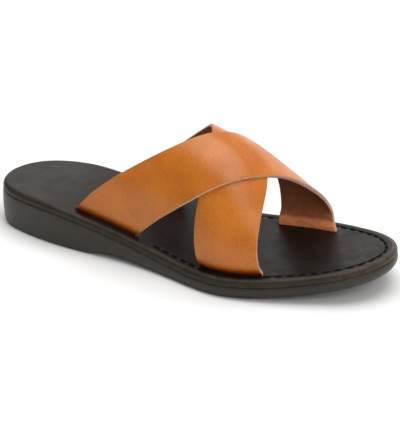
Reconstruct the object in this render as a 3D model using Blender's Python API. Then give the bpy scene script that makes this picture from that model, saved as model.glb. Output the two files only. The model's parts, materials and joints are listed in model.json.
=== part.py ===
"""Slide sandal for the right foot: outsole, insole with four slots, and an upper of two crossing straps.

Sizes are in millimetres. x runs from the back of the heel towards the toe, y is positive on the inner
side of the foot, and z is up from the floor. The finished part is centred over its footprint.
"""

import bmesh
import bpy
import numpy as np

MM = 0.001
GAP = 0.3  # clearance between neighbouring pieces

# Plan of the sole's edge, once round from the heel.
OUTLINE = [
    # place, x, y
    ("heel back", -0.6, -3.0),
    ("heel inner corner", 9.5, 20.0),
    ("heel inner side", 36.0, 32.0),
    ("waist inner side", 84.0, 34.8),
    ("arch", 124.0, 43.0),
    ("ball inner rear", 160.0, 47.6),
    ("ball inner side", 200.0, 55.0),
    ("big toe side", 240.0, 49.6),
    ("big toe corner", 267.0, 34.5),
    ("toe tip", 279.6, 9.0),
    ("small toe corner", 270.5, -14.0),
    ("small toe side", 243.0, -32.5),
    ("ball outer front", 210.0, -46.2),
    ("ball outer side", 182.0, -51.8),
    ("ball outer rear", 150.0, -45.8),
    ("waist outer side", 108.0, -39.2),
    ("heel outer side", 60.0, -37.6),
    ("heel outer rear", 26.0, -31.6),
    ("heel outer corner", 7.0, -22.2),
]

# Side profile.
HEEL_TOP = 29.1  # top of the insole at the heel
BALL_TOP = 13.2  # top of the insole under the ball of the foot
DROP_FROM, DROP_TO = 39.0, 165.0  # the top slopes down between these
SPRING_FROM, SPRING_TO = 172.0, 280.0  # the toe lifts between these
TOE_SPRING = 14.6  # lift at the toe tip
BREAST_FROM, BREAST_TO = 76.0, 96.0  # front of the heel
ARCH_FROM, ARCH_TO = 96.0, 150.0  # the waist comes back down to the floor
ARCH_RISE = 3.2
INSOLE = 5.0  # thickness

# Wall of the outsole: inset from the outline, share of the wall's height, and a further rise.
OUTSOLE_WALL = [
    # place, inset, share, rise
    ("tread edge", 1.5, 0.0, 0.0),
    ("tread round", 0.2, 0.0, 0.5),
    ("wall foot", -0.8, 0.0, 2.0),
    ("wall low", -1.7, 0.35, 0.6),
    ("wall middle", -1.9, 0.65, 0.0),
    ("wall top", -1.7, 1.0, -0.9),
    ("top edge", -0.8, 1.0, 0.0),
]

# Edge of the insole: inset from the outline, share of the thickness, and a further rise.
INSOLE_EDGE = [
    # place, inset, share, rise
    ("lower edge", -0.7, 0.0, 0.0),
    ("lower round", -1.3, 0.0, 0.8),
    ("edge", -1.5, 0.5, 0.0),
    ("upper round", -1.0, 1.0, -1.2),
    ("upper edge", -0.1, 1.0, -0.4),
    ("top", 1.2, 1.0, 0.0),
]

# Straps: bands of one thickness over the last, which stands on the insole.
STRAP = 2.8
OVERLAP = 0.4  # bite of the upper strap into the lower one where they are joined
LIFT_FROM, LIFT_TO = 0.05, 0.22  # the upper strap climbs onto the lower one between these shares

# Where a strap leaves its slot, leans out to its widest place and turns up, on each side of the foot.
SLOTS_FROM, SLOTS_TO = 115.0, 165.0  # between the rear and the front slots
SIDES = {
    # slots (their middle) and wide (the outer face) are in from the outline; the pulls shape the curve
    "outer": {
        "rear_slot": 7.6, "front_slot": 9.4, "wide": 4.4, "height": 11.0, "foot_pull": 2.6, "wide_pull": 8.0,
    },
    "inner": {
        "rear_slot": 11.6, "front_slot": 13.2, "wide": 8.0, "height": 10.0, "foot_pull": 3.7, "wide_pull": 1.8,
    },
}

LAST = [
    # x, ridge height over the insole, ridge towards the inner side of the middle
    (55.0, 58.0, 26.0),
    (85.0, 70.0, 21.0),
    (115.0, 76.5, 14.5),
    (145.0, 76.0, 8.0),
    (175.0, 68.6, 2.0),
    (205.0, 43.5, -3.9),
    (230.0, 18.2, -9.5),
]

# Edges of the two straps along the foot, by the share of the way round from the outer to the inner slot.
STRAPS = [
    # share, over strap rear, over strap front, under strap rear, under strap front
    (0.00, 66.6, 113.8, 166.3, 209.8),
    (0.12, 82.0, 133.8, 162.9, 207.4),
    (0.35, 128.0, 179.8, 161.2, 201.3),
    (0.62, 169.4, 202.2, 138.2, 178.8),
    (0.88, 182.2, 218.1, 94.4, 128.0),
    (1.00, 182.7, 225.1, 78.0, 116.0),
]

# Facets.
STATIONS = 56  # along the sole
STRAP_ACROSS = 8
SLOT_STEPS = 2
BELLY_STEPS = 8
OVER_STEPS = 34
LAST_STEPS = 32  # in each of the last's four curves
BELLY_SHARE = 0.14  # part of a strap's way round in which its end turns up

COLOURS = {
    "outsole": (0.030, 0.027, 0.024),
    "insole": (0.035, 0.027, 0.022),
    "upper": (0.52, 0.22, 0.06),
}
ROUGHNESS = {"outsole": 0.75, "insole": 0.5, "upper": 0.45}


def smooth(t):
    t = np.clip(t, 0.0, 1.0)
    return t * t * (3.0 - 2.0 * t)


def spline(knots, values, at):
    """Natural cubic spline through the values, straight beyond its ends."""
    knots = np.asarray(knots, float)
    values = np.asarray(values, float)
    step = np.diff(knots)
    slope = np.diff(values) / step
    count = len(knots)
    system = np.eye(count)
    right = np.zeros(count)
    for i in range(1, count - 1):
        system[i, i - 1:i + 2] = step[i - 1], 2.0 * (step[i - 1] + step[i]), step[i]
        right[i] = 6.0 * (slope[i] - slope[i - 1])
    bend = np.linalg.solve(system, right)
    at = np.asarray(at, float)
    inside = np.clip(at, knots[0], knots[-1])
    i = np.clip(np.searchsorted(knots, inside) - 1, 0, count - 2)
    h = step[i]
    a = (knots[i + 1] - inside) / h
    b = (inside - knots[i]) / h
    curve = a * values[i] + b * values[i + 1]
    curve += ((a ** 3 - a) * bend[i] + (b ** 3 - b) * bend[i + 1]) * h * h / 6.0
    first = slope[0] - step[0] * bend[1] / 6.0
    last = slope[-1] + step[-1] * bend[-2] / 6.0
    return curve + np.where(at < knots[0], first, last) * (at - inside)


def outline_sides():
    """The inner and the outer side of the plan, each as points from the heel's back to the toe's tip."""
    points = np.array([row[1:] for row in OUTLINE])
    wrap = 5
    points = np.concatenate([points[-wrap:], points, points[:wrap + 1]])
    chord = np.concatenate([[0.0], np.linalg.norm(np.diff(points, axis=0), axis=1).cumsum()])
    at = np.linspace(chord[wrap], chord[-wrap - 1], 1441)[:-1]
    curve = np.stack([spline(chord, points[:, 0], at), spline(chord, points[:, 1], at)], axis=1)
    curve = np.roll(curve, -curve[:, 0].argmin(), axis=0)
    toe = curve[:, 0].argmax()
    return curve[:toe + 1], np.concatenate([curve[toe:], curve[:1]])[::-1]


INNER_SIDE, OUTER_SIDE = outline_sides()
X_FROM, X_TO = INNER_SIDE[0, 0], INNER_SIDE[-1, 0]
CENTRE = np.array([(X_FROM + X_TO) / 2.0, (INNER_SIDE[:, 1].max() + OUTER_SIDE[:, 1].min()) / 2.0, 0.0])


def inner_y(x):
    return np.interp(x, INNER_SIDE[:, 0], INNER_SIDE[:, 1])


def outer_y(x):
    return np.interp(x, OUTER_SIDE[:, 0], OUTER_SIDE[:, 1])


# The sole's edge on each side, the way in from it and the straps' turn there.
OUTER = (outer_y, 1.0, SIDES["outer"])
INNER = (inner_y, -1.0, SIDES["inner"])


def toe_lift(x):
    return TOE_SPRING * np.clip((x - SPRING_FROM) / (SPRING_TO - SPRING_FROM), 0.0, None) ** 2


def top(x):
    """Height of the insole's top."""
    return HEEL_TOP - (HEEL_TOP - BALL_TOP) * smooth((x - DROP_FROM) / (DROP_TO - DROP_FROM)) + toe_lift(x)


def bottom(x):
    """Height of the tread: flat under the heel and the ball, raised under the waist and the toe."""
    breast = smooth((x - BREAST_FROM) / (BREAST_TO - BREAST_FROM))
    arch = smooth((ARCH_TO - x) / (ARCH_TO - ARCH_FROM))
    return ARCH_RISE * breast * arch + toe_lift(x)


def ring(inset):
    """Points round the outline, moved in by the inset: heel, inner side, toe, outer side."""
    turn = np.linspace(0.0, np.pi, STATIONS + 1)
    x = X_FROM + (X_TO - X_FROM) * (1.0 - np.cos(turn)) / 2.0
    inner = np.stack([x, inner_y(x)], axis=1)
    outer = np.stack([x, outer_y(x)], axis=1)
    points = np.concatenate([inner, outer[-2:0:-1]])
    along = np.roll(points, -1, axis=0) - np.roll(points, 1, axis=0)
    along /= np.linalg.norm(along, axis=1, keepdims=True)
    return points + inset * np.stack([along[:, 1], -along[:, 0]], axis=1)


def slot_y(x, edge, inward, side):
    """Where the middle of a slot runs."""
    share = smooth((x - SLOTS_FROM) / (SLOTS_TO - SLOTS_FROM))
    return edge(x) + inward * (side["rear_slot"] + (side["front_slot"] - side["rear_slot"]) * share)


def turn_up(x, edge, inward, side, t):
    """A strap's middle from its slot to its widest place: y and height over the insole."""
    foot = slot_y(x, edge, inward, side)
    wide = edge(x) + inward * (side["wide"] + STRAP / 2.0)
    rest = 1.0 - t
    y = foot * (rest ** 3 + 3.0 * rest ** 2 * t) + wide * (3.0 * rest * t ** 2 + t ** 3)
    z = GAP + 3.0 * rest ** 2 * t * side["foot_pull"] + t ** 3 * side["height"]
    z += 3.0 * rest * t ** 2 * (side["height"] - side["wide_pull"])
    return y, np.repeat(z, len(x), axis=0)


def last_middle(x):
    """Middle of a strap round the last at each x: (len(x), points, 2) of y and height over the insole."""
    x = np.asarray(x, float)[:, None]
    rows = np.array(LAST)
    t = np.linspace(0.0, 1.0, LAST_STEPS + 1)[None, :]
    outer_rise, outer_z = turn_up(x, *OUTER, t)
    inner_rise, inner_z = turn_up(x, *INNER, t)
    outer, inner = outer_rise[:, -1:], inner_rise[:, -1:]
    ridge_z = spline(rows[:, 0], rows[:, 1], x) - STRAP / 2.0
    ridge_y = (outer + inner) / 2.0 + spline(rows[:, 0], rows[:, 2], x)
    sine, cosine = np.sin(t * np.pi / 2.0), np.cos(t * np.pi / 2.0)
    outer_arch = outer_z[:, -1:] + (ridge_z - outer_z[:, -1:]) * sine
    inner_arch = inner_z[:, -1:] + (ridge_z - inner_z[:, -1:]) * sine
    y = np.concatenate([
        outer_rise,
        (ridge_y - (ridge_y - outer) * cosine)[:, 1:],
        (ridge_y + (inner - ridge_y) * cosine)[:, -2::-1],
        inner_rise[:, -2::-1],
    ], axis=1)
    z = np.concatenate([outer_z, outer_arch[:, 1:], inner_arch[:, -2::-1], inner_z[:, -2::-1]], axis=1)
    return np.stack([y, z], axis=2)


def on_last(x, share):
    """Points on the last's middle surface at these x and shares of the way round from the outer slot."""
    line = last_middle(x.ravel())
    step = np.linalg.norm(np.diff(line, axis=1), axis=2)
    length = np.concatenate([np.zeros((len(line), 1)), step.cumsum(axis=1)], axis=1)
    want = share.ravel() * length[:, -1]
    k = np.arange(len(line))
    i = np.clip((length <= want[:, None]).sum(axis=1) - 1, 0, step.shape[1] - 1)
    part = ((want - length[k, i]) / step[k, i])[:, None]
    yz = line[k, i] + part * (line[k, i + 1] - line[k, i])
    height = yz[:, 1] + top(x.ravel())
    return np.stack([x.ravel(), yz[:, 0], height], axis=1).reshape(x.shape + (3,))


def tangents(grid, axis):
    """Directions along one axis of a grid of points with uneven steps."""
    grid = np.moveaxis(grid, axis, 0)
    step = np.diff(grid, axis=0)
    size = np.linalg.norm(step, axis=2, keepdims=True)
    inside = step[:-1] * size[1:] / size[:-1] + step[1:] * size[:-1] / size[1:]
    return np.moveaxis(np.concatenate([step[:1], inside, step[-1:]]), 0, axis)


def normals(grid):
    """Outward directions of a strap's grid, which runs round the last and then towards the toe."""
    out = np.cross(tangents(grid, 1), tangents(grid, 0))
    return out / np.linalg.norm(out, axis=2, keepdims=True)


def strap_middle(rear, front, lift):
    """Grid of points on a strap's middle surface, with its ends standing in the slots."""
    rows = np.array(STRAPS)
    share = np.concatenate([
        np.linspace(0.0, BELLY_SHARE, BELLY_STEPS + 1)[:-1],
        np.linspace(BELLY_SHARE, 1.0 - BELLY_SHARE, OVER_STEPS + 1),
        np.linspace(1.0 - BELLY_SHARE, 1.0, BELLY_STEPS + 1)[1:],
    ])
    across = np.linspace(0.0, 1.0, STRAP_ACROSS + 1)
    rear_x = spline(rows[:, 0], rows[:, rear], share)[:, None]
    front_x = spline(rows[:, 0], rows[:, front], share)[:, None]
    x = rear_x + (front_x - rear_x) * across
    grid = on_last(x, np.broadcast_to(share[:, None], x.shape))
    from_end = np.minimum(share, 1.0 - share)
    climb = smooth((from_end - LIFT_FROM) / (LIFT_TO - LIFT_FROM))
    grid = grid + lift * climb[:, None, None] * normals(grid)
    return np.concatenate([slot_end(grid[0])[::-1], grid, slot_end(grid[-1])])


def slot_end(foot):
    """Rows of points that carry a strap's end down from its foot into the slot."""
    rows = []
    for depth in np.linspace(0.0, INSOLE - GAP, SLOT_STEPS + 1)[1:]:
        row = foot.copy()
        row[:, 2] = top(row[:, 0]) - depth
        rows.append(row)
    return np.array(rows)


def add_object(name, points, faces):
    mesh = bpy.data.meshes.new(name)
    mesh.from_pydata(((points - CENTRE) * MM).tolist(), [], faces)
    shape = bmesh.new()
    shape.from_mesh(mesh)
    bmesh.ops.recalc_face_normals(shape, faces=shape.faces)
    shape.to_mesh(mesh)
    shape.free()
    piece = bpy.data.objects.new(name, mesh)
    bpy.context.scene.collection.objects.link(piece)
    return piece


def add_sole_piece(name, wall, low, high):
    """A piece of the sole from the rows of its wall, between two heights that follow x."""
    rings = []
    for _, inset, share, rise in wall:
        plan = ring(inset)
        floor = low(plan[:, 0])
        rings.append(np.column_stack([plan, floor + share * (high(plan[:, 0]) - floor) + rise]))
    count = len(rings[0])
    faces = []
    for start in range(0, (len(rings) - 1) * count, count):
        for i in range(count):
            j = (i + 1) % count
            faces.append((start + i, start + j, start + count + j, start + count + i))
    for start in (0, (len(rings) - 1) * count):
        faces.append((start, start + 1, start + count - 1))
        faces.append((start + STATIONS - 1, start + STATIONS, start + STATIONS + 1))
        for i in range(1, STATIONS - 1):
            faces.append((start + i, start + i + 1, start + count - i - 1, start + count - i))
    return add_object(name, np.concatenate(rings), faces)


def add_sheet(name, outside, inside):
    """A closed sheet between two grids of points."""
    rows, columns = outside.shape[:2]
    size = rows * columns
    faces = []
    for i in range(rows - 1):
        for j in range(columns - 1):
            a = i * columns + j
            quad = (a, a + 1, a + columns + 1, a + columns)
            faces.append(quad)
            faces.append(tuple(size + v for v in reversed(quad)))
    rim = [(i * columns) for i in range(rows)]
    rim += [(rows - 1) * columns + j for j in range(1, columns)]
    rim += [i * columns + columns - 1 for i in range(rows - 2, -1, -1)]
    rim += [j for j in range(columns - 2, 0, -1)]
    for a, b in zip(rim, rim[1:] + rim[:1]):
        faces.append((a, b, size + b, size + a))
    points = np.concatenate([outside.reshape(-1, 3), inside.reshape(-1, 3)])
    return add_object(name, points, faces)


def add_strap(name, rear, front, lift):
    grid = strap_middle(rear, front, lift)
    out = normals(grid) * STRAP / 2.0
    return add_sheet(name, grid + out, grid - out)


def add_slot_cutter(name, x_from, x_to, side):
    """A standing wall that cuts one slot, wider than the strap by the gap on every side."""
    x = np.linspace(x_from, x_to, STRAP_ACROSS + 1)
    middle = np.stack([x, slot_y(x, *side)], axis=1)
    along = np.gradient(middle, axis=0)
    along /= np.linalg.norm(along, axis=1, keepdims=True)
    middle[0] -= along[0] * GAP
    middle[-1] += along[-1] * GAP
    across = np.stack([-along[:, 1], along[:, 0]], axis=1) * (STRAP / 2.0 + GAP)
    walls = []
    for plan in (middle + across, middle - across):
        low = np.column_stack([plan, np.zeros(len(plan))])
        high = np.column_stack([plan, np.full(len(plan), 2.0 * HEEL_TOP)])
        walls.append(np.stack([low, high]))
    return as_helper(add_sheet(name, walls[0], walls[1]))


def as_helper(piece):
    piece.hide_render = True
    piece.display_type = "WIRE"
    return piece


def add_boolean(piece, operation, other):
    change = piece.modifiers.new(other.name, "BOOLEAN")
    change.operation = operation
    change.solver = "EXACT"
    change.object = other


def finish(piece):
    material = bpy.data.materials.new(piece.name)
    material.use_nodes = True
    shader = material.node_tree.nodes["Principled BSDF"]
    shader.inputs["Base Color"].default_value = (*COLOURS[piece.name], 1.0)
    shader.inputs["Roughness"].default_value = ROUGHNESS[piece.name]
    piece.data.materials.append(material)
    piece.data.shade_smooth()


def main():
    for old in list(bpy.data.objects):
        bpy.data.objects.remove(old, do_unlink=True)

    under_insole = INSOLE + GAP
    outsole = add_sole_piece("outsole", OUTSOLE_WALL, bottom, lambda x: top(x) - under_insole)
    insole = add_sole_piece("insole", INSOLE_EDGE, lambda x: top(x) - INSOLE, top)
    first, final = STRAPS[0], STRAPS[-1]
    slots = [
        # name, x from, x to, side of the sole
        ("slot_outer_rear", first[1], first[2], OUTER),
        ("slot_outer_front", first[3], first[4], OUTER),
        ("slot_inner_front", final[1], final[2], INNER),
        ("slot_inner_rear", final[3], final[4], INNER),
    ]
    for slot in slots:
        add_boolean(insole, "DIFFERENCE", add_slot_cutter(*slot))
    upper = add_strap("upper", 3, 4, 0.0)
    over = as_helper(add_strap("upper_strap_over", 1, 2, STRAP - OVERLAP))
    add_boolean(upper, "UNION", over)
    for piece in (outsole, insole, upper):
        finish(piece)


main()
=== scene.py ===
"""Looks of the slide sandal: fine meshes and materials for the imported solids, with floor, light and camera.

Sizes are in millimetres on the sole's own plan: x runs from the back of the heel towards the toe, y is
positive on the inner side of the foot, and z is up from the floor. add_mesh() moves them into the frame.
The floor and the lights are given in metres, in the frame.
"""

import json

import bpy
import numpy as np
from mathutils import Matrix, Vector

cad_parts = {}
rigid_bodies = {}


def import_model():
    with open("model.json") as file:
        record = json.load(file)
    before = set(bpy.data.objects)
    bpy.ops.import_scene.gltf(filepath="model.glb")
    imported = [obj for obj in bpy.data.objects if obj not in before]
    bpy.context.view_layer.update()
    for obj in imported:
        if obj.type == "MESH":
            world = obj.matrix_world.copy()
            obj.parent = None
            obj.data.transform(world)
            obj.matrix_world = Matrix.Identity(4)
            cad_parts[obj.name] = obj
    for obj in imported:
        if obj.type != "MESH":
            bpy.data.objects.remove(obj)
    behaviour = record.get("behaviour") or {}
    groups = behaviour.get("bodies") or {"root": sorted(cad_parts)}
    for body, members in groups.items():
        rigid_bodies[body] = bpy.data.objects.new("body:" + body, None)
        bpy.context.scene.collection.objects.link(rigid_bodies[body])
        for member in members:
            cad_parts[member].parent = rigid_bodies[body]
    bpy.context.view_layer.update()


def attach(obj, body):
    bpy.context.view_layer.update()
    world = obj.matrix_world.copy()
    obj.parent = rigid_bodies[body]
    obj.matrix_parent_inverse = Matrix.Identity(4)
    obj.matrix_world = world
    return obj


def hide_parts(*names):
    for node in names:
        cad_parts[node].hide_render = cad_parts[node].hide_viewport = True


MM = 0.001
GAP = 0.3  # clearance between neighbouring pieces

# Plan of the sole's edge, once round from the heel.
OUTLINE = [
    # place, x, y
    ("heel back", -0.6, -3.0),
    ("heel inner corner", 9.5, 20.0),
    ("heel inner side", 36.0, 32.0),
    ("waist inner side", 84.0, 34.8),
    ("arch", 124.0, 43.0),
    ("ball inner rear", 160.0, 47.6),
    ("ball inner side", 200.0, 55.0),
    ("big toe side", 240.0, 49.6),
    ("big toe corner", 267.0, 34.5),
    ("toe tip", 279.6, 9.0),
    ("small toe corner", 270.5, -14.0),
    ("small toe side", 243.0, -32.5),
    ("ball outer front", 210.0, -46.2),
    ("ball outer side", 182.0, -51.8),
    ("ball outer rear", 150.0, -45.8),
    ("waist outer side", 108.0, -39.2),
    ("heel outer side", 60.0, -37.6),
    ("heel outer rear", 26.0, -31.6),
    ("heel outer corner", 7.0, -22.2),
]
OUTLINE_POINTS = 2880  # on the smooth line through the rows
OUTLINE_WRAP = 5  # rows repeated at each end, so that the line closes smoothly

# Side profile.
HEEL_TOP = 29.1  # top of the insole at the heel
BALL_TOP = 13.2  # top of the insole under the ball of the foot
DROP_FROM, DROP_TO = 39.0, 165.0  # the top slopes down between these
SPRING_FROM, SPRING_TO = 172.0, 280.0  # the toe lifts between these
TOE_SPRING = 14.6  # lift at the toe tip
BREAST_FROM, BREAST_TO = 76.0, 96.0  # front of the heel
ARCH_FROM, ARCH_TO = 96.0, 150.0  # the waist comes back down to the floor
ARCH_RISE = 3.2
INSOLE = 5.0  # thickness

# Wall of the outsole: inset from the outline, share of the wall's height, and a further rise.
OUTSOLE_WALL = [
    # inset, share, rise
    (1.5, 0.0, 0.0),
    (0.2, 0.0, 0.5),
    (-0.8, 0.0, 2.0),
    (-1.7, 0.35, 0.6),
    (-1.9, 0.65, 0.0),
    (-1.7, 1.0, -0.9),
    (-1.35, 1.0, 0.0),
]

# Edge of the insole: inset from the outline, share of the thickness, and a further rise.
INSOLE_EDGE = [
    # inset, share, rise
    (-1.15, 0.0, 0.0),
    (-1.4, 0.0, 0.8),
    (-1.5, 0.5, 0.0),
    (-1.0, 1.0, -1.2),
    (-0.1, 1.0, -0.4),
    (1.2, 1.0, 0.0),
]
INSOLE_TOP = [2.0, 3.0, 4.0, 4.6, 5.1, 5.4, 5.7, 6.0, 6.3, 6.8, 7.6, 9.0, 11.0]  # insets of the top's rings
RIM = 2.0  # the dusty rim reaches in to this inset

# Stitches round the front of the insole, and the groove that they lie in.
STITCH_INSET = 5.7
STITCH_FROM = 126.0  # where the line starts and ends along the sole
STITCH_PITCH = 7.7
STITCH_LENGTH = 5.4
STITCH_RADIUS = 0.85
STITCH_FLATNESS = 0.8  # height of the thread's section over its width
STITCH_RISE = 0.45  # middle of the thread over the groove's floor
STITCH_DIP = 1.6  # how far the ends go down into the insole
STITCH_BEND = 6  # power of the dip: a high one keeps the middle straight
GROOVE_DEPTH, GROOVE_WIDTH = 0.5, 0.8
GROOVE_FADE = 8.0  # length over which the groove fades out

# Straps: bands of one thickness over the last, which stands on the insole.
STRAP = 2.8
STRAP_ROUND = 0.55  # rounding of the cut edges
STRAP_LAYERS = ["grain", "cut", "flesh"]  # materials of a strap's faces, in the order of its slots
LOW_HEIGHT = 12.0  # painted shade and light on the leather change towards the slots below this
OVERLAP = 0.4  # bite of the over strap into the under one where they are joined
LIFT_FROM, LIFT_TO = 0.05, 0.22  # the over strap climbs onto the under one between these shares

# Where a strap leaves its slot, leans out to its widest place and turns up, on each side of the foot.
SLOTS_FROM, SLOTS_TO = 115.0, 165.0  # between the rear and the front slots
SIDES = {
    # slots (their middle) and wide (the outer face) are in from the outline; the pulls shape the curve
    "outer": {
        "rear_slot": 7.6, "front_slot": 9.4,
        "wide": 4.4, "height": 11.0, "foot_pull": 2.6, "wide_pull": 8.0,
    },
    "inner": {
        "rear_slot": 11.6, "front_slot": 13.2,
        "wide": 8.0, "height": 10.0, "foot_pull": 3.7, "wide_pull": 1.8,
    },
}

LAST = [
    # x, ridge height over the insole, ridge towards the inner side of the middle
    (55.0, 58.0, 26.0),
    (85.0, 70.0, 21.0),
    (115.0, 76.5, 14.5),
    (145.0, 76.0, 8.0),
    (175.0, 68.6, 2.0),
    (205.0, 43.5, -3.9),
    (230.0, 18.2, -9.5),
]

# Edges of the two straps along the foot, by the share of the way round from the outer to the inner slot.
STRAPS = [
    # share, over strap rear, over strap front, under strap rear, under strap front
    (0.00, 66.6, 113.8, 166.3, 209.8),
    (0.12, 82.0, 133.8, 162.9, 207.4),
    (0.35, 128.0, 179.8, 161.2, 201.3),
    (0.62, 169.4, 202.2, 138.2, 178.8),
    (0.88, 182.2, 218.1, 94.4, 128.0),
    (1.00, 182.7, 225.1, 78.0, 116.0),
]
OVER_STRAP, UNDER_STRAP = (1, 2), (3, 4)  # columns of each strap's rear and front edge

# Soft troughs in the over strap, each along a line on the plan.
TROUGHS = [
    # x from, y from, x to, y to, depth, half width
    (158.0, 2.5, 196.0, -5.6, 0.55, 7.0),
]

# Fineness of the meshes.
STATIONS = 180  # along the sole
COLUMNS = 26  # across the insole's middle
SLOT_STATIONS = 17  # along a slot
STRAP_ACROSS = 36
CORNER_STEPS = 3
SLOT_STEPS = 2
BELLY_STEPS = 22
OVER_STEPS = 120
LAST_STEPS = 64  # in each of the last's four curves
BELLY_SHARE = 0.14  # part of a strap's way round in which its end turns up
THREAD_SIDES, THREAD_STEPS = 8, 10

# Mottled tones: each material's noise, with its scale for a metre, and the two colours that it runs between.
TONES = {
    # material: scale, detail, roughness, dark, light
    "strap_grain": (38.0, 3.0, 0.55, (0.51, 0.131, 0.0037), (0.655, 0.191, 0.0074)),
    "strap_cut_edge": (900.0, 3.0, 0.7, (0.40, 0.235, 0.150), (0.68, 0.455, 0.330)),
    "strap_flesh": (240.0, 4.0, 0.7, (0.68, 0.220, 0.083), (0.94, 0.335, 0.139)),
    "insole_leather": (60.0, 3.0, 0.6, (0.011, 0.0070, 0.0050), (0.019, 0.0126, 0.0100)),
    "insole_rim": (200.0, 4.0, 0.7, (0.026, 0.0170, 0.0095), (0.070, 0.0500, 0.0310)),
    "sole_rubber": (150.0, 3.0, 0.6, (0.021, 0.0150, 0.0088), (0.038, 0.0293, 0.0190)),
    "stitch_thread": (2000.0, 2.0, 0.5, (0.002, 0.0015, 0.0015), (0.005, 0.0035, 0.003)),
}
NOISE_LOW, NOISE_HIGH = 0.3, 0.7  # a noise's values at the dark and the light end

# Changes along a factor: each stop is a place on the factor, and the grey or colour there.
TOE_WEAR_AND_HIGHLIGHT = [(0.88, 0.45), (1.0, 1.0)]  # along the sole: wear and a painted highlight make the toe lighter
INSOLE_PAINTED_SHEEN = [(0.2, 1.0), (0.6, 0.5)]  # along the sole: painted sheen, the leather at the heel twice as light as at the front
INSOLE_SHINE = [(0.2, 0.24), (0.9, 0.09)]  # along the sole
GRAIN_MOTTLE = [(0.32, 0.72), (0.66, 1.0)]  # over a fine noise
GRAIN_PAINTED_SHADE = [(0.5, 1.0), (0.75, (0.62, 0.42, 0.40)), (1.0, (0.10, 0.04, 0.04))]  # painted shade: the grain is darker down to the slots
FLESH_PAINTED_SHADE_AND_LIGHT = [(0.40, 0.37), (0.60, 1.0)]  # painted shade higher up and painted light in a band low down, towards the slots
SOLE_SHEEN = (1.0, 0.93, 0.86, 1.0)
INSOLE_SHEEN = (1.0, 0.92, 0.89, 1.0)

# Floor and lights.
FLOOR_REACH = 4.0  # each way from the middle
FLOOR_COLOUR = (0.88, 0.88, 0.875, 1.0)
WORLD_LIGHT = 0.15
SOFTBOXES = [
    # name, place, aim, size, watts
    ("softbox_top", (-0.05, 0.2, 1.5), (-0.05, 0.2, 0.0), (1.7, 1.5), 26.0),
    ("panel_back", (-0.3, 1.6, 0.52), (-0.3, 0.0, 0.52), (4.0, 1.04), 18.5),
    ("panel_front", (-0.3, -2.2, 1.0), (-0.3, 0.0, 0.3), (3.5, 1.6), 6.0),
    ("softbox_right", (1.5, -0.8, 1.2), (0.0, 0.0, 0.0), (1.2, 1.2), 14.5),
]

# Camera, as fitted to the photo's outline of the sole.
IMAGE = 400, 429
AIM = (-2.3, -1.6, 20.0)  # a point on the camera's axis, in the frame's millimetres
AXIS_PIXEL = 191.34, 222.41  # where that axis meets the picture
AZIMUTH, ELEVATION = 28.384, 26.017  # degrees
DISTANCE = 1982.0
FOCAL_PIXELS = 2979.6
SENSOR = 36.0  # for the longer side of the picture


def smooth(t):
    t = np.clip(t, 0.0, 1.0)
    return t * t * (3.0 - 2.0 * t)


def spline(knots, values, at):
    """Natural cubic spline through the values, straight beyond its ends."""
    knots = np.asarray(knots, float)
    values = np.asarray(values, float)
    step = np.diff(knots)
    slope = np.diff(values) / step
    count = len(knots)
    system = np.eye(count)
    right = np.zeros(count)
    for i in range(1, count - 1):
        system[i, i - 1:i + 2] = step[i - 1], 2.0 * (step[i - 1] + step[i]), step[i]
        right[i] = 6.0 * (slope[i] - slope[i - 1])
    bend = np.linalg.solve(system, right)
    at = np.asarray(at, float)
    inside = np.clip(at, knots[0], knots[-1])
    i = np.clip(np.searchsorted(knots, inside) - 1, 0, count - 2)
    h = step[i]
    a = (knots[i + 1] - inside) / h
    b = (inside - knots[i]) / h
    curve = a * values[i] + b * values[i + 1]
    curve += ((a ** 3 - a) * bend[i] + (b ** 3 - b) * bend[i + 1]) * h * h / 6.0
    first = slope[0] - step[0] * bend[1] / 6.0
    last = slope[-1] + step[-1] * bend[-2] / 6.0
    return curve + np.where(at < knots[0], first, last) * (at - inside)


def rounded(rows, rounds=2, cut=0.25):
    """A table's rows with the corners between them cut off, round after round, into a smooth line."""
    rows = np.array(rows, float)
    for _ in range(rounds):
        near = (1.0 - cut) * rows[:-1] + cut * rows[1:]
        far = cut * rows[:-1] + (1.0 - cut) * rows[1:]
        corners = np.stack([near, far], axis=1).reshape(-1, rows.shape[1])
        rows = np.concatenate([rows[:1], corners, rows[-1:]])
    return rows


def outline_sides():
    """The inner and the outer side of the plan, each as points from the heel's back to the toe's tip."""
    points = np.array([row[1:] for row in OUTLINE])
    points = np.concatenate([points[-OUTLINE_WRAP:], points, points[:OUTLINE_WRAP + 1]])
    chord = np.concatenate([[0.0], np.linalg.norm(np.diff(points, axis=0), axis=1).cumsum()])
    at = np.linspace(chord[OUTLINE_WRAP], chord[-OUTLINE_WRAP - 1], OUTLINE_POINTS + 1)[:-1]
    curve = np.stack([spline(chord, points[:, 0], at), spline(chord, points[:, 1], at)], axis=1)
    curve = np.roll(curve, -curve[:, 0].argmin(), axis=0)
    toe = curve[:, 0].argmax()
    return curve[:toe + 1], np.concatenate([curve[toe:], curve[:1]])[::-1]


INNER_SIDE, OUTER_SIDE = outline_sides()
X_FROM, X_TO = INNER_SIDE[0, 0], INNER_SIDE[-1, 0]
CENTRE = np.array([(X_FROM + X_TO) / 2.0, (INNER_SIDE[:, 1].max() + OUTER_SIDE[:, 1].min()) / 2.0, 0.0])


def inner_y(x):
    return np.interp(x, INNER_SIDE[:, 0], INNER_SIDE[:, 1])


def outer_y(x):
    return np.interp(x, OUTER_SIDE[:, 0], OUTER_SIDE[:, 1])


# The sole's edge on each side, the way in from it and the straps' turn there.
OUTER = (outer_y, 1.0, SIDES["outer"])
INNER = (inner_y, -1.0, SIDES["inner"])


def toe_lift(x):
    return TOE_SPRING * np.clip((x - SPRING_FROM) / (SPRING_TO - SPRING_FROM), 0.0, None) ** 2


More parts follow.
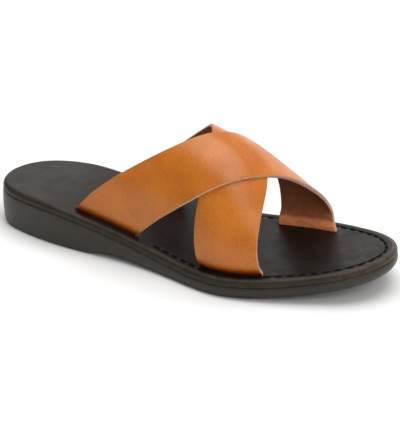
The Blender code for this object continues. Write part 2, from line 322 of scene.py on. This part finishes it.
def top(x):
    """Height of the insole's top."""
    return HEEL_TOP - (HEEL_TOP - BALL_TOP) * smooth((x - DROP_FROM) / (DROP_TO - DROP_FROM)) + toe_lift(x)


def insole_floor(x):
    return top(x) - INSOLE


def outsole_top(x):
    return insole_floor(x) - GAP


def tread(x):
    """Height of the tread: flat under the heel and the ball, raised under the waist and the toe."""
    breast = smooth((x - BREAST_FROM) / (BREAST_TO - BREAST_FROM))
    arch = smooth((ARCH_TO - x) / (ARCH_TO - ARCH_FROM))
    return ARCH_RISE * breast * arch + toe_lift(x)


def ring(inset):
    """Points round the outline, moved in by the inset: heel, inner side, toe, outer side."""
    turn = np.linspace(0.0, np.pi, STATIONS + 1)
    x = X_FROM + (X_TO - X_FROM) * (1.0 - np.cos(turn)) / 2.0
    inner = np.stack([x, inner_y(x)], axis=1)
    outer = np.stack([x, outer_y(x)], axis=1)
    points = np.concatenate([inner, outer[-2:0:-1]])
    along = np.roll(points, -1, axis=0) - np.roll(points, 1, axis=0)
    along /= np.linalg.norm(along, axis=1, keepdims=True)
    return points + inset * np.stack([along[:, 1], -along[:, 0]], axis=1)


def groove(x, inset):
    """Depth of the stitch line's groove, which fades out towards its ends."""
    across = np.exp(-((inset - STITCH_INSET) / GROOVE_WIDTH) ** 2)
    return GROOVE_DEPTH * across * smooth((x - STITCH_FROM) / GROOVE_FADE + 0.5)


def slot_y(x, edge, inward, side):
    """Where the middle of a slot runs."""
    share = smooth((x - SLOTS_FROM) / (SLOTS_TO - SLOTS_FROM))
    return edge(x) + inward * (side["rear_slot"] + (side["front_slot"] - side["rear_slot"]) * share)


def turn_up(x, edge, inward, side, t):
    """A strap's middle from its slot to its widest place: y and height over the insole."""
    foot = slot_y(x, edge, inward, side)
    wide = edge(x) + inward * (side["wide"] + STRAP / 2.0)
    rest = 1.0 - t
    y = foot * (rest ** 3 + 3.0 * rest ** 2 * t) + wide * (3.0 * rest * t ** 2 + t ** 3)
    z = GAP + 3.0 * rest ** 2 * t * side["foot_pull"] + t ** 3 * side["height"]
    z += 3.0 * rest * t ** 2 * (side["height"] - side["wide_pull"])
    return y, np.repeat(z, len(x), axis=0)


def last_middle(x):
    """Middle of a strap round the last at each x: (len(x), points, 2) of y and height over the insole."""
    x = np.asarray(x, float)[:, None]
    rows = np.array(LAST)
    t = np.linspace(0.0, 1.0, LAST_STEPS + 1)[None, :]
    outer_rise, outer_z = turn_up(x, *OUTER, t)
    inner_rise, inner_z = turn_up(x, *INNER, t)
    outer, inner = outer_rise[:, -1:], inner_rise[:, -1:]
    ridge_z = spline(rows[:, 0], rows[:, 1], x) - STRAP / 2.0
    ridge_y = (outer + inner) / 2.0 + spline(rows[:, 0], rows[:, 2], x)
    sine, cosine = np.sin(t * np.pi / 2.0), np.cos(t * np.pi / 2.0)
    outer_arch = outer_z[:, -1:] + (ridge_z - outer_z[:, -1:]) * sine
    inner_arch = inner_z[:, -1:] + (ridge_z - inner_z[:, -1:]) * sine
    y = np.concatenate([
        outer_rise,
        (ridge_y - (ridge_y - outer) * cosine)[:, 1:],
        (ridge_y + (inner - ridge_y) * cosine)[:, -2::-1],
        inner_rise[:, -2::-1],
    ], axis=1)
    z = np.concatenate([outer_z, outer_arch[:, 1:], inner_arch[:, -2::-1], inner_z[:, -2::-1]], axis=1)
    return np.stack([y, z], axis=2)


def on_last(x, share):
    """Points on the last's middle surface at these x and shares of the way round from the outer slot."""
    line = last_middle(x.ravel())
    step = np.linalg.norm(np.diff(line, axis=1), axis=2)
    length = np.concatenate([np.zeros((len(line), 1)), step.cumsum(axis=1)], axis=1)
    want = share.ravel() * length[:, -1]
    k = np.arange(len(line))
    i = np.clip((length <= want[:, None]).sum(axis=1) - 1, 0, step.shape[1] - 1)
    part = ((want - length[k, i]) / step[k, i])[:, None]
    yz = line[k, i] + part * (line[k, i + 1] - line[k, i])
    height = yz[:, 1] + top(x.ravel())
    return np.stack([x.ravel(), yz[:, 0], height], axis=1).reshape(x.shape + (3,))


def tangents(grid, axis):
    """Directions along one axis of a grid of points with uneven steps."""
    grid = np.moveaxis(grid, axis, 0)
    step = np.diff(grid, axis=0)
    size = np.linalg.norm(step, axis=2, keepdims=True)
    inside = step[:-1] * size[1:] / size[:-1] + step[1:] * size[:-1] / size[1:]
    return np.moveaxis(np.concatenate([step[:1], inside, step[-1:]]), 0, axis)


def unit(vectors):
    return vectors / np.linalg.norm(vectors, axis=-1, keepdims=True)


def normals(grid):
    """Outward directions of a strap's grid, which runs round the last and then towards the toe."""
    return unit(np.cross(tangents(grid, 1), tangents(grid, 0)))


def trough_depth(points):
    """How far the over strap dips at these points."""
    depth = np.zeros(points.shape[:-1])
    for x_from, y_from, x_to, y_to, deep, half_width in TROUGHS:
        start = np.array([x_from, y_from])
        way = np.array([x_to, y_to]) - start
        along = ((points[..., :2] - start) @ way) / (way @ way)
        off = points[..., :2] - start - np.clip(along, 0.0, 1.0)[..., None] * way
        depth += deep * np.exp(-(np.linalg.norm(off, axis=-1) / half_width) ** 2)
    return depth


def slot_end(foot):
    """Rows of points that carry a strap's end down from its foot into the slot."""
    rows = []
    for depth in np.linspace(0.0, INSOLE - GAP, SLOT_STEPS + 1)[1:]:
        row = foot.copy()
        row[:, 2] = top(row[:, 0]) - depth
        rows.append(row)
    return np.array(rows)


def strap_middle(edges, lift):
    """Grid of points on a strap's middle surface, with its ends standing in the slots."""
    rows = np.array(STRAPS)
    share = np.concatenate([
        np.linspace(0.0, BELLY_SHARE, BELLY_STEPS + 1)[:-1],
        np.linspace(BELLY_SHARE, 1.0 - BELLY_SHARE, OVER_STEPS + 1),
        np.linspace(1.0 - BELLY_SHARE, 1.0, BELLY_STEPS + 1)[1:],
    ])
    across = np.linspace(0.0, 1.0, STRAP_ACROSS + 1)
    rear_x, front_x = (spline(rows[:, 0], rows[:, column], share)[:, None] for column in edges)
    x = rear_x + (front_x - rear_x) * across
    grid = on_last(x, np.broadcast_to(share[:, None], x.shape))
    from_end = np.minimum(share, 1.0 - share)
    climb = smooth((from_end - LIFT_FROM) / (LIFT_TO - LIFT_FROM))
    move = lift * climb[:, None]
    if lift:
        move = move - trough_depth(grid)
    grid = grid + move[..., None] * normals(grid)
    return np.concatenate([slot_end(grid[0])[::-1], grid, slot_end(grid[-1])])


def add_mesh(name, points, faces):
    """An object from points on the sole's plan, moved into the frame."""
    mesh = bpy.data.meshes.new(name)
    mesh.from_pydata(((points - CENTRE) * MM).tolist(), [], faces)
    mesh.update()
    piece = bpy.data.objects.new(name, mesh)
    bpy.context.scene.collection.objects.link(piece)
    return piece


def add_piece(piece, node):
    """Fix a piece to the body, smooth its shading and hide the solid that it replaces."""
    piece.data.shade_smooth()
    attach(piece, "root")
    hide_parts(node)


def ring_faces(first, second, count):
    """Quads between two rings of the same count, the second one above or inside the first."""
    return [(first + i, first + (i + 1) % count, second + (i + 1) % count, second + i) for i in range(count)]


def cap_faces(start, count, upward):
    """Quads and end triangles straight across a ring."""
    faces = [(start, start + 1, start + count - 1)]
    faces += [
        (start + i, start + i + 1, start + count - i - 1, start + count - i) for i in range(1, STATIONS - 1)
    ]
    faces.append((start + STATIONS - 1, start + STATIONS, start + STATIONS + 1))
    return faces if upward else [face[::-1] for face in faces]


def wall_rings(wall, low, high):
    """Rings of points up a wall that stands between two heights."""
    rings = []
    for inset, share, rise in rounded(wall):
        plan = ring(inset)
        floor = low(plan[:, 0])
        rings.append(np.column_stack([plan, floor + share * (high(plan[:, 0]) - floor) + rise]))
    return rings


def wall_faces(rings):
    """The cap under the lowest ring and the quads from ring to ring."""
    count = len(rings[0])
    faces = cap_faces(0, count, False)
    for level in range(len(rings) - 1):
        faces += ring_faces(level * count, (level + 1) * count, count)
    return faces


def add_outsole():
    rings = wall_rings(OUTSOLE_WALL, tread, outsole_top)
    count = len(rings[0])
    faces = wall_faces(rings) + cap_faces((len(rings) - 1) * count, count, True)
    return add_mesh("outsole_body", np.concatenate(rings), faces)


def insole_middle(points, last, count):
    """Points and faces of the top inside its last ring, which starts at the given point."""
    across = np.linspace(0.0, 1.0, COLUMNS + 1)[1:-1, None]
    lines, rows = [], []
    for i in range(1, STATIONS):
        inner, outer = last + i, last + count - i
        line = points[inner] + (points[outer] - points[inner]) * across
        line[:, 2] = top(line[:, 0])
        lines.append(line)
        start = len(points) + (i - 1) * (COLUMNS - 1)
        rows.append([inner, *range(start, start + COLUMNS - 1), outer])
    faces = []
    for near, far in zip(rows, rows[1:]):
        faces += [(near[k], far[k], far[k + 1], near[k + 1]) for k in range(COLUMNS)]
    faces += [(last, rows[0][k], rows[0][k + 1]) for k in range(COLUMNS)]
    faces += [(last + STATIONS, rows[-1][k + 1], rows[-1][k]) for k in range(COLUMNS)]
    return lines, faces


def add_insole():
    """The insole before its slots are cut. Its faces carry the leather or, at the edge, the rim material."""
    rings = wall_rings(INSOLE_EDGE, insole_floor, top)
    for inset in INSOLE_TOP:
        plan = ring(inset)
        rings.append(np.column_stack([plan, top(plan[:, 0]) - groove(plan[:, 0], inset)]))
    count = len(rings[0])
    points = np.concatenate(rings)
    faces = wall_faces(rings)
    rim_faces = len(faces) - count * sum(inset > RIM for inset in INSOLE_TOP)
    lines, middle_faces = insole_middle(points, len(points) - count, count)
    faces += middle_faces
    insole = add_mesh("insole_body", np.concatenate([points, *lines]), faces)
    insole.data.polygons.foreach_set("material_index", [int(k < rim_faces) for k in range(len(faces))])
    return insole


def add_slot_cutter(name, x_from, x_to, side):
    """A standing wall that cuts one slot, wider than the strap by the gap on every side."""
    x = np.linspace(x_from, x_to, SLOT_STATIONS)
    middle = np.stack([x, slot_y(x, *side)], axis=1)
    along = unit(np.gradient(middle, axis=0))
    middle[0] -= along[0] * GAP
    middle[-1] += along[-1] * GAP
    across = np.stack([-along[:, 1], along[:, 0]], axis=1) * (STRAP / 2.0 + GAP)
    plan = np.concatenate([middle - across, (middle + across)[::-1]])
    count = len(plan)
    low = np.column_stack([plan, np.zeros(count)])
    high = np.column_stack([plan, np.full(count, 2.0 * HEEL_TOP)])
    faces = ring_faces(0, count, count)
    faces += [tuple(range(count))[::-1], tuple(range(count, 2 * count))]
    return add_mesh(name, np.concatenate([low, high]), faces)


def cut_slots(insole):
    outer_end, inner_end = STRAPS[0], STRAPS[-1]
    slots = [
        # name, row of the strap edges, strap, side of the sole
        ("slot_outer_rear", outer_end, OVER_STRAP, OUTER),
        ("slot_outer_front", outer_end, UNDER_STRAP, OUTER),
        ("slot_inner_front", inner_end, OVER_STRAP, INNER),
        ("slot_inner_rear", inner_end, UNDER_STRAP, INNER),
    ]
    cutters = [add_slot_cutter(name, row[rear], row[front], side) for name, row, (rear, front), side in slots]
    for cutter in cutters:
        change = insole.modifiers.new(cutter.name, "BOOLEAN")
        change.operation = "DIFFERENCE"
        change.solver = "EXACT"
        change.object = cutter
    graph = bpy.context.evaluated_depsgraph_get()
    cut = bpy.data.meshes.new_from_object(insole.evaluated_get(graph))
    insole.modifiers.clear()
    insole.data = cut
    for cutter in cutters:
        bpy.data.objects.remove(cutter)


def strap_edge(grid, out, column, next_column, faces):
    """Lines of points round one cut edge of a strap, from one face to the other: 1 is grain, -1 is flesh."""
    middle, outward = grid[:, column], out[:, column]
    across = np.cross(tangents(grid, 0)[:, column], outward)
    away = unit(across) * np.sign((across * (middle - grid[:, next_column])).sum())
    turn = np.linspace(0.0, np.pi / 2.0, CORNER_STEPS + 1)
    lines = []
    for face, angles in zip(faces, (turn, turn[::-1])):
        for angle in angles:
            sideways = STRAP_ROUND * (np.sin(angle) - 1.0)
            height = face * (STRAP / 2.0 - STRAP_ROUND + STRAP_ROUND * np.cos(angle))
            lines.append(middle + sideways * away + height * outward)
    return lines


def strap_lines(grid):
    """Lines of points along a strap, side by side once round its section."""
    out = normals(grid)
    half = STRAP / 2.0
    columns = range(1, STRAP_ACROSS)
    lines = [grid[:, j] + half * out[:, j] for j in columns]
    lines += strap_edge(grid, out, -1, -2, (1.0, -1.0))
    lines += [grid[:, j] - half * out[:, j] for j in reversed(columns)]
    lines += strap_edge(grid, out, 0, 1, (-1.0, 1.0))
    return np.stack(lines, axis=1)


def strap_layers():
    """What each strip between two of a strap's lines shows.

    The front cut shows on its flat and on most of the rounding above it, the rear cut only on its flat.
    """
    grain_face = ["grain"] * STRAP_ACROSS
    front_edge = ["cut"] * CORNER_STEPS
    flesh_face = ["flesh"] * (STRAP_ACROSS + 2 * CORNER_STEPS)
    rear_edge = ["cut"] + ["grain"] * (CORNER_STEPS + 1)
    return [STRAP_LAYERS.index(layer) for layer in grain_face + front_edge + flesh_face + rear_edge]


def add_strap(name, edges, lift):
    """A strap with rounded cut edges. Its faces carry the grain, cut or flesh material."""
    points = strap_lines(strap_middle(edges, lift))
    rows, count = points.shape[:2]
    faces = []
    for i in range(rows - 1):
        for k in range(count):
            j = (k + 1) % count
            faces.append((i * count + k, (i + 1) * count + k, (i + 1) * count + j, i * count + j))
    ends = [tuple(range(count)), tuple(range((rows - 1) * count, rows * count))[::-1]]
    points = points.reshape(-1, 3)
    strap = add_mesh(name, points, faces + ends)
    layers = strap_layers() * (rows - 1) + [STRAP_LAYERS.index("cut")] * len(ends)
    strap.data.polygons.foreach_set("material_index", layers)
    lowness = strap.data.attributes.new("lowness", "FLOAT", "POINT")
    height = points[:, 2] - top(points[:, 0])
    lowness.data.foreach_set("value", np.clip(1.0 - height / LOW_HEIGHT, 0.0, 1.0))
    return strap


def stitch_line():
    """Points of the stitch line, from the outer side round the toe, and the length up to each."""
    plan = ring(STITCH_INSET)[::-1]
    plan = np.roll(plan, -plan[:, 0].argmin(), axis=0)
    plan = plan[plan[:, 0] > STITCH_FROM]
    length = np.concatenate([[0.0], np.linalg.norm(np.diff(plan, axis=0), axis=1).cumsum()])
    return plan, length


def add_stitches():
    plan, length = stitch_line()
    count = int((length[-1] - STITCH_LENGTH) / STITCH_PITCH) + 1
    turn = np.linspace(0.0, 2.0 * np.pi, THREAD_SIDES, endpoint=False)[:, None]
    t = np.linspace(0.0, 1.0, THREAD_STEPS + 1)
    dip = STITCH_DIP * np.abs(2.0 * t - 1.0) ** STITCH_BEND
    points, faces = [], []
    for n in range(count):
        at = n * STITCH_PITCH + STITCH_LENGTH * t
        x = np.interp(at, length, plan[:, 0])
        y = np.interp(at, length, plan[:, 1])
        line = np.stack([x, y, top(x) - GROOVE_DEPTH + STITCH_RISE - dip], axis=1)
        along = unit(np.gradient(line, axis=0))
        side = unit(np.cross(along, (0.0, 0.0, 1.0)))
        rise = np.cross(side, along)
        start = len(points) * THREAD_SIDES
        for p, s, r in zip(line, side, rise):
            points.append(p + STITCH_RADIUS * (np.cos(turn) * s + STITCH_FLATNESS * np.sin(turn) * r))
        for i in range(THREAD_STEPS):
            faces += ring_faces(start + i * THREAD_SIDES, start + (i + 1) * THREAD_SIDES, THREAD_SIDES)
        end = start + THREAD_STEPS * THREAD_SIDES
        faces += [
            tuple(range(start, start + THREAD_SIDES))[::-1],
            tuple(range(end, end + THREAD_SIDES)),
        ]
    return add_mesh("insole_stitches", np.concatenate(points), faces)


class Nodes:
    """A material's nodes, added and linked by short calls."""

    # Sockets of a colour mix, which share their names with others.
    MIX_FACTOR, MIX_FIRST, MIX_SECOND, MIX_RESULT = 0, 6, 7, 2

    def __init__(self, name):
        self.name = name
        self.material = bpy.data.materials.new(name)
        self.material.use_nodes = True
        self.tree = self.material.node_tree
        self.shader = self.tree.nodes["Principled BSDF"]
        self.place = self.add("ShaderNodeTexCoord").outputs["Object"]

    def add(self, kind, **values):
        node = self.tree.nodes.new(kind)
        for key, value in values.items():
            setattr(node, key, value)
        return node

    def link(self, source, target):
        self.tree.links.new(source, target)

    def noise(self, scale, detail=2.0, roughness=0.5):
        node = self.add("ShaderNodeTexNoise")
        node.inputs["Scale"].default_value = scale
        node.inputs["Detail"].default_value = detail
        node.inputs["Roughness"].default_value = roughness
        self.link(self.place, node.inputs["Vector"])
        return node.outputs["Fac"]

    def cells(self, scale):
        node = self.add("ShaderNodeTexVoronoi", feature="SMOOTH_F1")
        node.inputs["Scale"].default_value = scale
        self.link(self.place, node.inputs["Vector"])
        return node.outputs["Distance"]

    def lowness(self):
        """How near a strap's surface is to the insole: 0 from the low height up, 1 at the slots."""
        return self.add("ShaderNodeAttribute", attribute_name="lowness").outputs["Fac"]

    def along(self):
        """Place along the sole: 0 at the heel's back, 1 at the toe's tip."""
        half_length = (X_TO - X_FROM) / 2.0 * MM
        split = self.add("ShaderNodeSeparateXYZ")
        self.link(self.place, split.inputs["Vector"])
        span = self.add("ShaderNodeMapRange")
        span.inputs["From Min"].default_value = -half_length
        span.inputs["From Max"].default_value = half_length
        self.link(split.outputs["X"], span.inputs["Value"])
        return span.outputs["Result"]

    def ramp(self, factor, stops):
        """Colours or greys at places along the factor."""
        node = self.add("ShaderNodeValToRGB")
        points = node.color_ramp.elements
        while len(points) < len(stops):
            points.new(0.5)
        for point, (at, colour) in zip(points, stops):
            point.position = at
            point.color = (*colour, 1.0) if isinstance(colour, tuple) else (colour, colour, colour, 1.0)
        self.link(factor, node.inputs["Fac"])
        return node.outputs["Color"]

    def between(self, noise, low, high):
        """Two colours or greys, mottled by a noise."""
        return self.ramp(noise, [(NOISE_LOW, low), (NOISE_HIGH, high)])

    def tone(self):
        """The material's own mottled tone."""
        scale, detail, roughness, dark, light = TONES[self.name]
        return self.between(self.noise(scale, detail, roughness), dark, light)

    def times(self, first, second):
        """Two colours multiplied."""
        node = self.add("ShaderNodeMix", data_type="RGBA", blend_type="MULTIPLY")
        node.inputs[self.MIX_FACTOR].default_value = 1.0
        self.link(first, node.inputs[self.MIX_FIRST])
        self.link(second, node.inputs[self.MIX_SECOND])
        return node.outputs[self.MIX_RESULT]

    def colour(self, source):
        self.link(source, self.shader.inputs["Base Color"])

    def bump(self, *layers):
        """Heights stacked into the shader's normal, each as its factor, depth in millimetres and strength."""
        normal = None
        for height, depth, strength in layers:
            node = self.add("ShaderNodeBump")
            node.inputs["Distance"].default_value = depth * MM
            node.inputs["Strength"].default_value = strength
            self.link(height, node.inputs["Height"])
            if normal:
                self.link(normal, node.inputs["Normal"])
            normal = node.outputs["Normal"]
        self.link(normal, self.shader.inputs["Normal"])

    def set(self, **values):
        for key, value in values.items():
            self.shader.inputs[key.replace("_", " ")].default_value = value


def grain_leather():
    n = Nodes("strap_grain")
    leather = n.times(n.tone(), n.ramp(n.noise(800.0, 4.0, 0.8), GRAIN_MOTTLE))
    # painted shade: the grain darkens towards the slots
    n.colour(n.times(leather, n.ramp(n.lowness(), GRAIN_PAINTED_SHADE)))
    n.link(n.between(n.noise(90.0), 0.30, 0.42), n.shader.inputs["Roughness"])
    n.bump((n.cells(1000.0), 0.14, 0.25), (n.noise(420.0, 3.0, 0.6), 0.16, 0.3))
    n.set(Specular_IOR_Level=0.5)
    return n.material


def cut_leather():
    n = Nodes("strap_cut_edge")
    n.colour(n.tone())
    n.bump((n.noise(1800.0), 0.15, 0.4))
    n.set(Roughness=0.85)
    return n.material


def flesh_leather():
    n = Nodes("strap_flesh")
    # painted shade above and painted light in the low band of the flesh side
    n.colour(n.times(n.tone(), n.ramp(n.lowness(), FLESH_PAINTED_SHADE_AND_LIGHT)))
    n.bump((n.noise(1500.0, 3.0, 0.7), 0.2, 0.5))
    n.set(Roughness=0.95, Specular_IOR_Level=0.2)
    return n.material


def insole_leather():
    n = Nodes("insole_leather")
    # painted sheen: the leather is lighter towards the heel
    n.colour(n.times(n.tone(), n.ramp(n.along(), INSOLE_PAINTED_SHEEN)))
    n.link(n.between(n.noise(120.0), 0.38, 0.50), n.shader.inputs["Roughness"])
    n.link(n.ramp(n.along(), INSOLE_SHINE), n.shader.inputs["Specular IOR Level"])
    n.bump((n.cells(900.0), 0.15, 0.2), (n.noise(300.0, 3.0), 0.1, 0.15))
    n.set(Specular_Tint=INSOLE_SHEEN)
    return n.material


def insole_rim():
    n = Nodes("insole_rim")
    # wear and a painted highlight lighten the rim at the toe
    n.colour(n.times(n.tone(), n.ramp(n.along(), TOE_WEAR_AND_HIGHLIGHT)))
    n.bump((n.noise(900.0, 3.0, 0.6), 0.15, 0.3))
    n.set(Roughness=0.5, Specular_IOR_Level=0.3, Specular_Tint=SOLE_SHEEN)
    return n.material


def sole_rubber():
    n = Nodes("sole_rubber")
    # wear and a painted highlight lighten the rubber at the toe
    n.colour(n.times(n.tone(), n.ramp(n.along(), TOE_WEAR_AND_HIGHLIGHT)))
    n.bump((n.noise(1600.0, 3.0, 0.6), 0.15, 0.35))
    n.set(Roughness=0.44, Specular_IOR_Level=0.5, Specular_Tint=SOLE_SHEEN)
    return n.material


def thread():
    n = Nodes("stitch_thread")
    n.colour(n.tone())
    n.set(Roughness=0.8, Specular_IOR_Level=0.15)
    return n.material


def add_floor():
    mesh = bpy.data.meshes.new("floor")
    corners = [(x * FLOOR_REACH, y * FLOOR_REACH, 0.0) for x, y in ((-1, -1), (1, -1), (1, 1), (-1, 1))]
    mesh.from_pydata(corners, [], [(0, 1, 2, 3)])
    floor = bpy.data.objects.new("floor", mesh)
    bpy.context.scene.collection.objects.link(floor)
    n = Nodes("floor_paper")
    n.set(Base_Color=FLOOR_COLOUR, Roughness=0.9, Specular_IOR_Level=0.1)
    mesh.materials.append(n.material)


def add_softbox(name, place, aim, size, watts):
    light = bpy.data.lights.new(name, "AREA")
    light.shape = "RECTANGLE"
    light.size, light.size_y = size
    light.energy = watts
    lamp = bpy.data.objects.new(name, light)
    lamp.location = place
    lamp.rotation_mode = "QUATERNION"
    lamp.rotation_quaternion = (Vector(aim) - Vector(place)).to_track_quat("-Z", "Y")
    bpy.context.scene.collection.objects.link(lamp)


def add_light():
    world = bpy.data.worlds.new("studio")
    bpy.context.scene.world = world
    world.use_nodes = True
    background = world.node_tree.nodes["Background"]
    background.inputs["Color"].default_value = (1.0, 1.0, 1.0, 1.0)
    background.inputs["Strength"].default_value = WORLD_LIGHT
    for row in SOFTBOXES:
        add_softbox(*row)
    bpy.context.scene.view_settings.view_transform = "Standard"


def add_camera():
    a, e = np.radians([AZIMUTH, ELEVATION])
    right = Vector((np.cos(a), np.sin(a), 0.0))
    rise = Vector((-np.sin(a) * np.sin(e), np.cos(a) * np.sin(e), np.cos(e)))
    back = Vector((np.sin(a) * np.cos(e), -np.cos(a) * np.cos(e), np.sin(e)))
    data = bpy.data.cameras.new("camera")
    data.sensor_width = SENSOR
    data.lens = FOCAL_PIXELS * SENSOR / max(IMAGE)
    data.shift_x = (IMAGE[0] / 2.0 - AXIS_PIXEL[0]) / max(IMAGE)
    data.shift_y = (AXIS_PIXEL[1] - IMAGE[1] / 2.0) / max(IMAGE)
    camera = bpy.data.objects.new("camera", data)
    turned = Matrix((right, rise, back)).transposed().to_4x4()
    camera.matrix_world = Matrix.Translation((Vector(AIM) + DISTANCE * back) * MM) @ turned
    bpy.context.scene.collection.objects.link(camera)
    bpy.context.scene.camera = camera


def main():
    for old in list(bpy.data.objects):
        bpy.data.objects.remove(old, do_unlink=True)
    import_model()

    outsole = add_outsole()
    outsole.data.materials.append(sole_rubber())
    insole = add_insole()
    insole.data.materials.append(insole_leather())
    insole.data.materials.append(insole_rim())
    cut_slots(insole)
    stitches = add_stitches()
    stitches.data.materials.append(thread())
    under = add_strap("strap_under", UNDER_STRAP, 0.0)
    over = add_strap("strap_over", OVER_STRAP, STRAP - OVERLAP)
    for material in (grain_leather(), cut_leather(), flesh_leather()):
        under.data.materials.append(material)
        over.data.materials.append(material)

    add_piece(outsole, "outsole")
    add_piece(insole, "insole")
    add_piece(stitches, "insole")
    add_piece(under, "upper")
    add_piece(over, "upper")

    add_floor()
    add_light()
    add_camera()


main()
